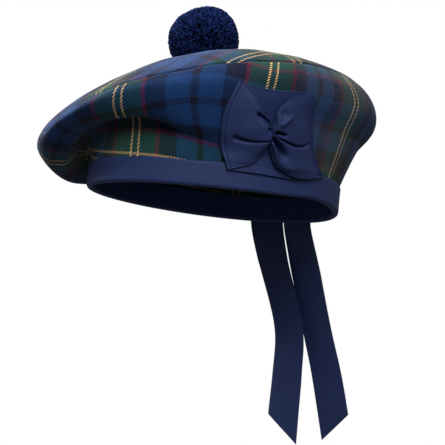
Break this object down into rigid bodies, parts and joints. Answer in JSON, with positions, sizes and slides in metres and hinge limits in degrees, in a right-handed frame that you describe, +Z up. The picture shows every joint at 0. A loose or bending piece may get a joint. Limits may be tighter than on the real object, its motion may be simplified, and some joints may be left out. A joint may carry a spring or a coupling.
{
  "type": "balmoral bonnet",
  "caption": "Soft tartan wool bonnet with a drooping crown, ribbon-bound head opening, pleated ribbon cockade, wool toorie and ribbon tails at the back.",
  "frame": {"origin": "middle of the head opening, level with the lower edge of the band, where a head carries the bonnet", "axes": "+Z up out of the crown, square to the band; -Y to the front; +X to the wearer's left, where the cockade is"},
  "size_m": [0.23, 0.2791, 0.3021],
  "materials": {
    "tartan_wool": "twill wool, blue and green tartan with red and yellow lines, matt",
    "navy_ribbon": "fine ribbed navy ribbon, slight sheen",
    "toorie_yarn": "cut navy wool yarn, matt"
  },
  "bodies": {
    "root": {"crown": "tartan_wool", "band": "navy_ribbon", "cockade_backing": "navy_ribbon", "cockade_bow": "navy_ribbon", "toorie": "toorie_yarn", "tail_left": "navy_ribbon", "tail_right": "navy_ribbon"}
  },
  "joints": []
}
